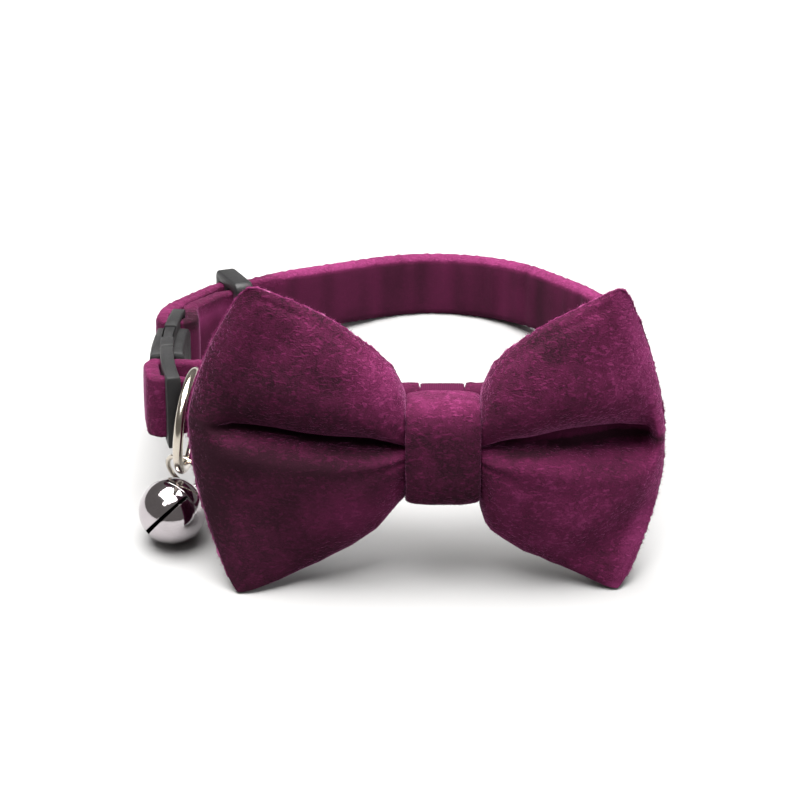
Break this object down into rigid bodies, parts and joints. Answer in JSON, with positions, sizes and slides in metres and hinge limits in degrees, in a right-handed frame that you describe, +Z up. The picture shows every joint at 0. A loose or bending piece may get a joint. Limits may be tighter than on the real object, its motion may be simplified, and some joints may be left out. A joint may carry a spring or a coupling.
{
  "type": "pet bow tie collar",
  "caption": "Padded velvet pet collar standing on its bow, with a pillow bow tie, a quick-release buckle, a strap slider, a ring and a round jingle bell.",
  "frame": {"origin": "centre of the object's bounding box in plan, at the height of the surface that it stands on", "axes": "+X to the wearer's left, which is the viewer's right when facing the bow; +Y from the bow to the nape of the strap; +Z up from the surface"},
  "size_m": [0.0964, 0.1008, 0.0555],
  "materials": {
    "velvet": "short-pile plum velvet",
    "elastic": "woven dark elastic",
    "black_plastic": "matt moulded plastic",
    "nickel": "warm nickel plating",
    "chrome": "polished chrome plating"
  },
  "bodies": {
    "root": {"collar_strap": "velvet", "bow": "velvet", "bow_knot": "velvet", "bow_keeper": "elastic", "buckle_male": "black_plastic", "buckle_female": "black_plastic", "slider": "black_plastic", "ring": "nickel", "jump_ring": "nickel", "bell_shell": "chrome", "bell_pellet": "nickel"}
  },
  "joints": []
}
